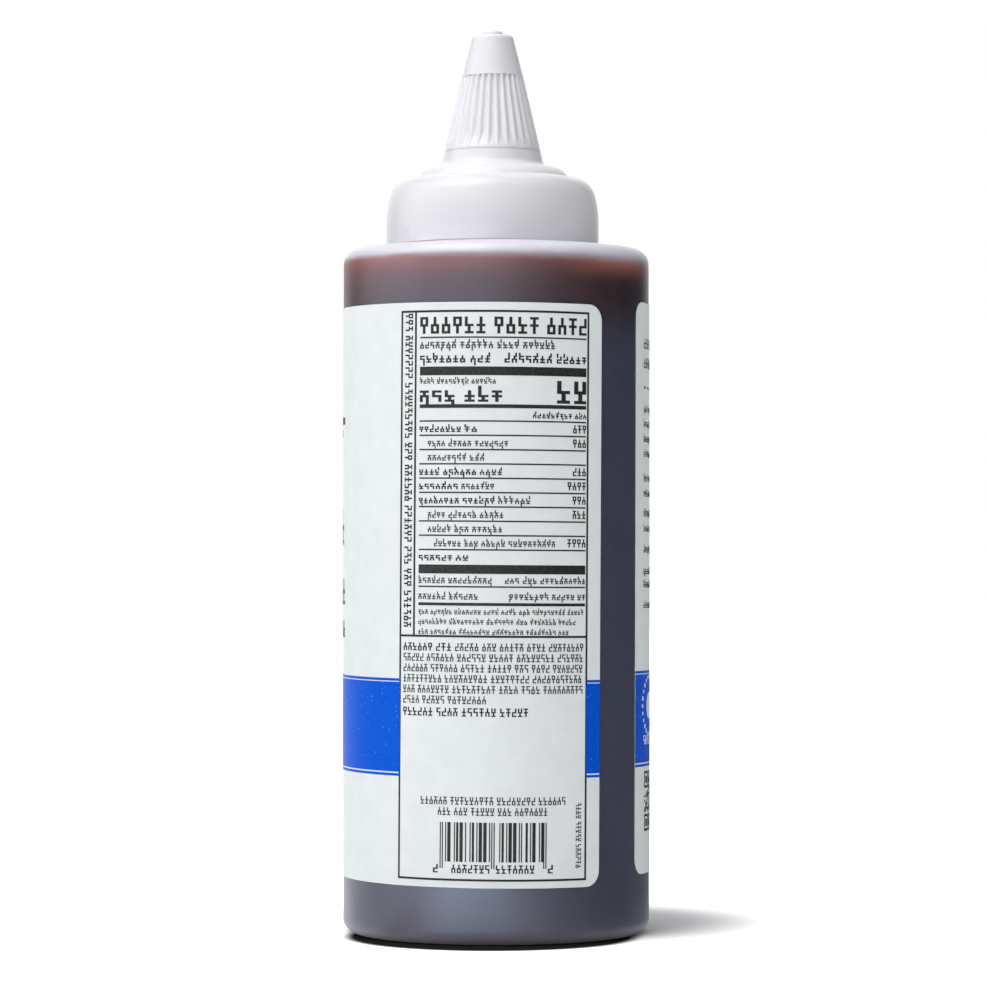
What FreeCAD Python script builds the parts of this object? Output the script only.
"""Squeeze bottle of barbecue sauce with a twist-tip cap, as a parametric model.

The bottle stands on the XY plane with its axis on Z, in millimetres. Five pieces make it:
the blow-moulded bottle, the sauce that fills it, the wrapped film label, the screw cap with
its spout and plug pin, and the fluted twist tip that closes over the pin.

Every driving size is a cell of the sheet "Sizes". A sketch corner is placed by an expression
on those cells, so the neighbours of a piece follow when its size changes.
"""
import FreeCAD, Part
import math
import os
import Sketcher
from FreeCAD import Vector

SIZES = {
    # bottle
    "body_diameter": 60.0,
    "bottle_wall": 1.0,
    "shoulder_start": 130.9,      # height at which the straight wall ends
    "shoulder_round": 3.0,
    "shoulder_slope": 6.0,        # degrees above level
    "base_round": 3.0,
    "stand_width": 4.5,           # flat ring that the bottle stands on
    "push_up_run": 2.5,           # slanted edge of the raised base
    "push_up_edge": 1.6,
    "push_up_depth": 2.8,
    "neck_diameter": 35.0,
    "neck_wall": 2.0,
    "neck_length": 11.4,
    # sauce
    "fill_rise": 0.6,             # surface of the sauce above the shoulder's start
    # label
    "label_film": 0.12,
    "label_bottom": 11.0,
    "label_top_margin": 9.0,      # from the label's top up to the shoulder's start
    "label_corner": 3.1,
    "label_gap": 12.3,            # bare strip between the two ends, measured straight across
    "label_gap_bearing": 52.9,    # degrees round from the -Y side towards +X
    # cap
    "cap_offset": 0.7,            # the cap sits this far off the bottle's axis, towards -X
    "thread_room": 1.5,           # between the neck and the inside of the skirt
    "skirt_wall": 1.86,
    "skirt_gap": 0.1,             # between the skirt's edge and the shoulder
    "skirt_edge_round": 0.3,
    "skirt_bulge": 20.0,          # radius of the slow curve of the skirt
    "skirt_corner": 4.3,
    "bulge_drop": 8.7,            # the bulge starts this far under the deck's top
    "deck_thickness": 1.6,
    "tier_height": 2.2,
    "tier_round": 3.5,
    "tier_ledge": 0.17,
    "spout_height": 3.15,
    "spout_fillet": 1.8,
    "cap_wall": 1.4,
    # twist tip
    "tip_foot_diameter": 18.88,
    "tip_waist_diameter": 12.0,
    "tip_waist_height": 14.9,
    "tip_end_diameter": 8.28,
    "tip_height": 22.98,
    "tip_round": 0.8,
    "tip_wall": 1.2,
    "tip_foot_wall": 1.9,
    "twist_clearance": 0.3,       # between the tip's inside and the post
    "pin_diameter": 4.0,
    "pin_clearance": 0.1,
    "pin_rise": 0.8,
    "pin_round": 0.3,
    "flute_count": 30,
    "flute_depth": 0.5,
    "flute_land": 0.2,            # flat crest left between two flutes
    "flute_floor": 0.2,
    "flute_start": 0.5,           # where the run-out of a flute begins
    "flute_runout": 2.7,
}

OVERSHOOT = 1.0                   # how far a cutting shape stands proud of what it cuts
FULL_TURN = 360.0


class Size:
    """A number together with the sheet expression that it comes from."""

    def __init__(self, value, text):
        self.value = value
        self.text = text

    @staticmethod
    def of(number):
        """The number itself as a Size, if it isn't one yet."""
        return number if isinstance(number, Size) else Size(number, repr(number))

    def _join(self, other, sign, result):
        return Size(result, f"({self.text} {sign} {Size.of(other).text})")

    def __add__(self, other):
        return self._join(other, "+", self.value + Size.of(other).value)

    def __sub__(self, other):
        return self._join(other, "-", self.value - Size.of(other).value)

    def __mul__(self, other):
        return self._join(other, "*", self.value * Size.of(other).value)

    def __truediv__(self, other):
        return self._join(other, "/", self.value / Size.of(other).value)

    def __neg__(self):
        return Size.of(0) - self


def sine(angle):
    return Size(math.sin(math.radians(angle.value)), f"sin({angle.text})")


def cosine(angle):
    return Size(math.cos(math.radians(angle.value)), f"cos({angle.text})")


def tangent(angle):
    return Size(math.tan(math.radians(angle.value)), f"tan({angle.text})")


def arctangent(ratio):
    """The angle in degrees whose tangent is the ratio."""
    return Size(math.degrees(math.atan(ratio.value)), f"(atan({ratio.text}) / 1 deg)")


def root(square):
    return Size(math.sqrt(square.value), f"sqrt({square.text})")


def make_sheet(doc):
    """Write the driving sizes into the sheet and return them by name."""
    sheet = doc.addObject("Spreadsheet::Sheet", "Sizes")
    for row, (name, number) in enumerate(SIZES.items(), start=1):
        sheet.set(f"A{row}", name.replace("_", " "))
        sheet.set(f"B{row}", str(number))
        sheet.setAlias(f"B{row}", name)
    doc.recompute()
    return {name: Size(number, f"Sizes.{name}") for name, number in SIZES.items()}


class Outline:
    """A closed sketch wire whose corners are held by expressions on the sheet."""

    def __init__(self, body, name, plane, lift=None):
        """Attach an empty sketch to one of the body's origin planes, raised by lift."""
        self.sketch = body.newObject("Sketcher::SketchObject", name)
        planes = [part for part in body.Origin.OriginFeatures if part.Role == plane]
        self.sketch.AttachmentSupport = [(planes[0], "")]
        self.sketch.MapMode = "FlatFace"
        if lift is not None:
            self.sketch.setExpression("AttachmentOffset.Base.z", lift.text)
        self.corners = []
        self.bends = []

    def to(self, x, y, radius=None, left=False):
        """Add a corner, reached by a straight run or by an arc that turns left or right."""
        self.corners.append((Size.of(x), Size.of(y)))
        self.bends.append((radius, left))

    @staticmethod
    def _arc(start, end, radius, left):
        """The shorter arc of a radius from start to end, drawn through its middle."""
        chord = end - start
        outwards = Vector(chord.y, -chord.x, 0) * (1 if left else -1)
        outwards.normalize()
        sagitta = radius - math.sqrt(max(radius ** 2 - (chord.Length / 2) ** 2, 0))
        return Part.Arc(start, (start + end) * 0.5 + outwards * sagitta, end)

    def close(self):
        """Draw the wire and tie each corner and each radius to its expression."""
        sketch = self.sketch
        spots = [Vector(x.value, y.value, 0) for x, y in self.corners]
        count = len(spots)
        for index in range(count):
            start, end = spots[index], spots[(index + 1) % count]
            radius, left = self.bends[(index + 1) % count]
            if radius is None:
                sketch.addGeometry(Part.LineSegment(start, end), False)
            else:
                sketch.addGeometry(self._arc(start, end, radius.value, left), False)
        # an arc that turns right is stored the other way round, so its ends swap
        first = [2 if radius is not None and not left else 1
                 for radius, left in self.bends[1:] + self.bends[:1]]
        for index in range(count):
            after = (index + 1) % count
            sketch.addConstraint(Sketcher.Constraint(
                "Coincident", index, 3 - first[index], after, first[after]))
        for index, (x, y) in enumerate(self.corners):
            self._hold(index, first[index], "X", x)
            self._hold(index, first[index], "Y", y)
        for index in range(count):
            radius = self.bends[(index + 1) % count][0]
            if radius is not None:
                self._bind(Sketcher.Constraint("Radius", index, radius.value), radius)
        return sketch

    def _hold(self, index, end, way, size):
        """Keep one end of a piece of wire at a distance from the sketch's origin."""
        if size.text == "0":
            axis = -2 if way == "X" else -1
            self.sketch.addConstraint(Sketcher.Constraint("PointOnObject", index, end, axis))
        else:
            self._bind(Sketcher.Constraint(f"Distance{way}", -1, 1, index, end, size.value), size)

    def _bind(self, constraint, size):
        number = self.sketch.addConstraint(constraint)
        self.sketch.setExpression(f"Constraints[{number}]", size.text)


def turn(body, outline, name, kind="PartDesign::Revolution"):
    """Spin an outline right round the Z axis, adding a solid or cutting a groove."""
    feature = body.newObject(kind, name)
    feature.Profile = outline
    feature.ReferenceAxis = (outline, ["V_Axis"])
    feature.Angle = FULL_TURN
    return feature


def new_body(doc, name):
    body = doc.addObject("PartDesign::Body", name)
    body.Label = name
    return body


class Bottle:
    """The blow-moulded shell, and the places that the other pieces take from it."""

    def __init__(self, size):
        self.size = size
        self.radius = size["body_diameter"] / 2
        self.wall = size["bottle_wall"]
        self.start = size["shoulder_start"]
        self.round = size["shoulder_round"]
        self.slope = size["shoulder_slope"]
        self.base_round = size["base_round"]
        self.stand_edge = self.radius - self.base_round - size["stand_width"]
        self.push_up_edge = self.stand_edge - size["push_up_run"]
        self.neck_radius = size["neck_diameter"] / 2
        self.bore_radius = self.neck_radius - size["neck_wall"]
        self.neck_top = self.shoulder_height(self.neck_radius) + size["neck_length"]

    def shoulder_bend(self, inset=0):
        """Where the rounded shoulder turns into the slope, on a surface inset by a wall."""
        bend = self.round - inset
        return (self.radius - self.round + bend * sine(self.slope),
                self.start + bend * cosine(self.slope))

    def shoulder_height(self, radius, inset=0):
        """Height of the sloping shoulder at a radius."""
        bend_radius, bend_height = self.shoulder_bend(inset)
        return bend_height + (bend_radius - radius) * tangent(self.slope)

    def dome_radius(self):
        """Radius of the shallow dome in the middle of the raised base."""
        rise = self.size["push_up_depth"] - self.size["push_up_edge"]
        return (self.push_up_edge * self.push_up_edge + rise * rise) / (rise * 2)

    def add_base(self, outline, lift):
        """Draw the raised base from the axis outwards, lifted by a wall for the inside."""
        outline.to(0, self.size["push_up_depth"] + lift)
        outline.to(self.push_up_edge, self.size["push_up_edge"] + lift, self.dome_radius(), left=False)
        outline.to(self.stand_edge, lift)

    def cavity(self, body):
        """The inside of the bottle as a closed outline, open-ended through the neck."""
        inside = self.radius - self.wall
        outline = Outline(body, f"{body.Name}_cavity", "XZ_Plane")
        self.add_base(outline, self.wall)
        outline.to(self.radius - self.base_round, self.wall)
        outline.to(inside, self.base_round, self.base_round - self.wall, left=True)
        outline.to(inside, self.start)
        outline.to(*self.shoulder_bend(self.wall), self.round - self.wall, left=True)
        outline.to(self.bore_radius, self.shoulder_height(self.bore_radius, self.wall))
        outline.to(self.bore_radius, self.neck_top + OVERSHOOT)
        outline.to(0, self.neck_top + OVERSHOOT)
        return outline.close()

    def build(self, doc):
        body = new_body(doc, "bottle")
        outline = Outline(body, "bottle_outline", "XZ_Plane")
        self.add_base(outline, Size.of(0))
        outline.to(self.radius - self.base_round, 0)
        outline.to(self.radius, self.base_round, self.base_round, left=True)
        outline.to(self.radius, self.start)
        outline.to(*self.shoulder_bend(), self.round, left=True)
        outline.to(self.neck_radius, self.shoulder_height(self.neck_radius))
        outline.to(self.neck_radius, self.neck_top)
        outline.to(0, self.neck_top)
        turn(body, outline.close(), "bottle_form")
        turn(body, self.cavity(body), "bottle_inside", "PartDesign::Groove")
        return body

    def build_sauce(self, doc):
        """The sauce: the bottle's own inside, cut off level at the fill height."""
        body = new_body(doc, "sauce")
        turn(body, self.cavity(body), "sauce_form")
        level = self.start + self.size["fill_rise"]
        above = Outline(body, "headspace", "XZ_Plane")
        above.to(0, level)
        above.to(self.radius, level)
        above.to(self.radius, self.neck_top + OVERSHOOT * 2)
        above.to(0, self.neck_top + OVERSHOOT * 2)
        turn(body, above.close(), "sauce_level", "PartDesign::Groove")
        return body


class Label:
    """The film wrapped round the body, with rounded ends and a bare strip between them."""

    def __init__(self, size, bottle):
        self.size = size
        self.bottle = bottle

    def build(self, doc):
        body = new_body(doc, "label")
        bottom = self.size["label_bottom"]
        top = self.bottle.start - self.size["label_top_margin"]
        inner = self.bottle.radius
        outer = inner + self.size["label_film"]
        ring = Outline(body, "label_ring", "XY_Plane", lift=bottom).sketch
        for number, radius in enumerate((outer, inner)):
            ring.addGeometry(Part.Circle(Vector(0, 0, 0), Vector(0, 0, 1), radius.value), False)
            ring.addConstraint(Sketcher.Constraint("Coincident", number, 3, -1, 1))
            limit = ring.addConstraint(Sketcher.Constraint("Radius", number, radius.value))
            ring.setExpression(f"Constraints[{limit}]", radius.text)
        wrap = body.newObject("PartDesign::Pad", "label_wrap")
        wrap.Profile = ring
        wrap.setExpression("Length", (top - bottom).text)

        strip = body.newObject("PartDesign::Pocket", "label_ends")
        strip.Profile = self.bare_strip(body, bottom, top)
        strip.Reversed = True
        strip.setExpression("Length", (outer + OVERSHOOT).text)
        body.setExpression("Placement.Rotation.Angle", self.size["label_gap_bearing"].text)
        return body

    def bare_strip(self, body, bottom, top):
        """The strip between the ends, flared at its corners by the rounding of the film."""
        half = self.size["label_gap"] / 2
        corner = self.size["label_corner"]
        wide = half + corner
        outline = Outline(body, "label_gap", "XZ_Plane")
        outline.to(-wide, bottom - OVERSHOOT)
        outline.to(wide, bottom - OVERSHOOT)
        outline.to(wide, bottom)
        outline.to(half, bottom + corner, corner, left=False)
        outline.to(half, top - corner)
        outline.to(wide, top, corner, left=False)
        outline.to(wide, top + OVERSHOOT)
        outline.to(-wide, top + OVERSHOOT)
        outline.to(-wide, top)
        outline.to(-half, top - corner, corner, left=False)
        outline.to(-half, bottom + corner)
        outline.to(-wide, bottom, corner, left=False)
        return outline.close()


class TwistTip:
    """The fluted cone over the post. Its own Z = 0 is its foot, on the spout's seat."""

    def __init__(self, size):
        self.size = size
        self.foot_radius = size["tip_foot_diameter"] / 2
        self.waist_radius = size["tip_waist_diameter"] / 2
        self.end_radius = size["tip_end_diameter"] / 2
        self.bore_foot = self.foot_radius - size["tip_foot_wall"]
        self.bore_end = self.end_radius - size["tip_wall"]
        self.bore_height = size["tip_height"] - size["tip_wall"]
        self.pin_radius = size["pin_diameter"] / 2
        self.hole_radius = self.pin_radius + size["pin_clearance"]
        self.lean = (self.foot_radius - self.waist_radius) / size["tip_waist_height"]

    def surface(self, height):
        """Radius of the lower cone, the crest of the flutes, at a height."""
        return self.foot_radius - height * self.lean

    def build(self, doc):
        body = new_body(doc, "twist_tip")
        height, bend = self.size["tip_height"], self.size["tip_round"]
        outline = Outline(body, "tip_outline", "XZ_Plane")
        outline.to(self.bore_foot, 0)
        outline.to(self.foot_radius, 0)
        outline.to(self.waist_radius, self.size["tip_waist_height"])
        outline.to(self.end_radius, height - bend)
        outline.to(self.end_radius - bend, height, bend, left=True)
        outline.to(self.hole_radius, height)
        outline.to(self.hole_radius, self.bore_height)
        outline.to(self.bore_end, self.bore_height)
        turn(body, outline.close(), "tip_form")
        self.add_flutes(body)
        return body

    def add_flutes(self, body):
        """Cut one tapering flute, which runs out at its foot, and repeat it round the axis."""
        start, depth = self.size["flute_start"], self.size["flute_depth"]
        head = self.size["tip_waist_height"]
        floor = self.size["flute_floor"] / 2
        sections = [
            self.flute_section(body, "flute_foot", start, Size.of(0), self.half_mouth(start)),
            self.flute_section(body, "flute_middle", start + self.size["flute_runout"], depth, floor),
            self.flute_section(body, "flute_head", head, depth, floor),
        ]
        flute = body.newObject("PartDesign::SubtractiveLoft", "flute")
        flute.Profile = sections[0]
        flute.Sections = [(section, [""]) for section in sections[1:]]
        flute.Ruled = True
        ring = body.newObject("PartDesign::PolarPattern", "flutes")
        ring.Originals = [flute]
        ring.Axis = (sections[0], ["N_Axis"])
        ring.Angle = FULL_TURN
        ring.setExpression("Occurrences", self.size["flute_count"].text)
        body.Tip = ring

    def half_mouth(self, height):
        """Half the width of a flute at the cone's surface: its pitch less the land."""
        half_pitch = Size.of(FULL_TURN / 2) / self.size["flute_count"]
        return self.surface(height) * sine(half_pitch) - self.size["flute_land"] / 2

    def flute_section(self, body, name, height, depth, half_floor):
        """A flute's section, from its floor out past the cone's surface on sloping sides."""
        radius = self.surface(height)
        reach = self.size["flute_depth"]
        half_outer = self.half_mouth(height) * (depth + reach) / reach
        outline = Outline(body, name, "XY_Plane", lift=height)
        outline.to(radius - depth, -half_floor)
        outline.to(radius + reach, -half_outer)
        outline.to(radius + reach, half_outer)
        outline.to(radius - depth, half_floor)
        return outline.close()


class CapBase:
    """The screw cap. Its own Z = 0 is the sealing face on the neck's top."""

    def __init__(self, size, bottle, tip):
        self.size = size
        self.bottle = bottle
        self.tip = tip
        self.skirt_inside = bottle.neck_radius + size["thread_room"]
        self.skirt_radius = self.skirt_inside + size["skirt_wall"]
        self.deck = size["deck_thickness"]
        self.tier_top = self.deck + size["tier_height"]
        self.seat = self.tier_top + size["spout_height"]
        over_shoulder = bottle.shoulder_height(self.skirt_inside) + size["skirt_gap"]
        self.skirt_bottom = over_shoulder - bottle.neck_top
        self.post_foot = tip.bore_foot - size["twist_clearance"]

    def shell(self, body):
        """The skirt and the deck: the skirt's outside is two tangent curves up to the deck."""
        edge = self.size["skirt_edge_round"]
        bulge, corner = self.size["skirt_bulge"], self.size["skirt_corner"]
        rise = self.size["bulge_drop"] - corner
        reach = root((bulge - corner) * (bulge - corner) - rise * rise)
        corner_centre = self.skirt_radius - bulge + reach
        # the two curves meet on the line through both centres
        share = corner / (bulge - corner)
        outline = Outline(body, "cap_shell_outline", "XZ_Plane")
        outline.to(self.skirt_inside, self.skirt_bottom)
        outline.to(self.skirt_radius - edge, self.skirt_bottom)
        outline.to(self.skirt_radius, self.skirt_bottom + edge, edge, left=True)
        outline.to(self.skirt_radius, self.deck - self.size["bulge_drop"])
        outline.to(corner_centre + reach * share, self.deck - corner + rise * share, bulge, left=True)
        outline.to(corner_centre, self.deck, corner, left=True)
        outline.to(0, self.deck)
        outline.to(0, 0)
        outline.to(self.skirt_inside, 0)
        return outline.close()

    def spout_fillet_ends(self):
        """Both ends of the curve between the tier's top and the spout's cone."""
        lean = arctangent(self.tip.lean)
        bend = self.size["spout_fillet"]
        height = self.tier_top + bend * (Size.of(1) - sine(lean))
        radius = self.tip.foot_radius + (self.seat - height) * self.tip.lean
        return (radius + bend * cosine(lean), self.tier_top), (radius, height)

    def crown(self):
        """Radius at which the tier's flat top turns into its dome."""
        return self.spout_fillet_ends()[0][0] + self.size["tier_ledge"]

    def spout(self, body):
        """The domed tier, the spout up to the tip's seat, the post and the plug pin."""
        bend, fillet = self.size["tier_round"], self.size["spout_fillet"]
        below = bend - self.size["tier_height"]
        tier_foot = self.crown() + root(bend * bend - below * below)
        fillet_foot, fillet_head = self.spout_fillet_ends()
        post_top = self.seat + self.tip.bore_height - self.size["twist_clearance"]
        pin_top = self.seat + self.size["tip_height"] + self.size["pin_rise"]
        pin_bend = self.size["pin_round"]
        outline = Outline(body, "cap_spout_outline", "XZ_Plane")
        outline.to(0, 0)
        outline.to(tier_foot, 0)
        outline.to(tier_foot, self.deck)
        outline.to(self.crown(), self.tier_top, bend, left=True)
        outline.to(*fillet_foot)
        outline.to(*fillet_head, fillet, left=False)
        outline.to(self.tip.foot_radius, self.seat)
        outline.to(self.post_foot, self.seat)
        outline.to(self.tip.bore_end - self.size["twist_clearance"], post_top)
        outline.to(self.tip.pin_radius, post_top)
        outline.to(self.tip.pin_radius, pin_top - pin_bend)
        outline.to(self.tip.pin_radius - pin_bend, pin_top, pin_bend, left=True)
        outline.to(0, pin_top)
        return outline.close()

    def hollow(self, body):
        """The space under the tier and inside the post, open at the sealing face."""
        wall = self.size["cap_wall"]
        bore = self.post_foot - wall
        top = self.seat + self.tip.bore_height - self.size["twist_clearance"] - wall
        outline = Outline(body, "cap_hollow_outline", "XZ_Plane")
        outline.to(0, -OVERSHOOT)
        outline.to(self.crown(), -OVERSHOOT)
        outline.to(self.crown(), self.tier_top - wall)
        outline.to(bore, self.tier_top - wall)
        outline.to(bore, self.seat - wall)
        outline.to(0, top)
        return outline.close()

    def build(self, doc):
        body = new_body(doc, "cap_base")
        turn(body, self.shell(body), "cap_shell")
        turn(body, self.spout(body), "cap_spout")
        turn(body, self.hollow(body), "cap_hollow", "PartDesign::Groove")
        self.place(body, Size.of(0))
        return body

    def place(self, body, lift):
        """Set a piece of the closure over the neck, off the axis by the cap's offset."""
        body.setExpression("Placement.Base.x", (-self.size["cap_offset"]).text)
        body.setExpression("Placement.Base.z", (self.bottle.neck_top + lift).text)


def check(doc, bodies):
    """Stop if an object failed or a piece isn't one valid solid."""
    for item in doc.Objects:
        if "Invalid" in item.State or "Error" in item.State:
            raise RuntimeError(f"{item.Name} failed: {item.State}")
    for body in bodies:
        shape = body.Shape
        if shape.isNull() or not shape.isValid() or len(shape.Solids) != 1:
            raise RuntimeError(f"{body.Label} isn't one valid solid")
        box = shape.BoundBox
        print(f"{body.Label}: {shape.Volume / 1000:.3f} cm3, "
              f"Z {box.ZMin:.2f} to {box.ZMax:.2f}, X {box.XMin:.2f} to {box.XMax:.2f}")


def main():
    doc = FreeCAD.newDocument("sauce_bottle")
    size = make_sheet(doc)
    bottle = Bottle(size)
    tip = TwistTip(size)
    cap = CapBase(size, bottle, tip)
    bodies = [
        bottle.build(doc),
        bottle.build_sauce(doc),
        Label(size, bottle).build(doc),
        cap.build(doc),
        tip.build(doc),
    ]
    cap.place(bodies[-1], cap.seat)
    doc.recompute()
    check(doc, bodies)
    os.makedirs("parts", exist_ok=True)
    for body in bodies:
        body.Shape.exportStep(f"parts/{body.Label}.step")


main()
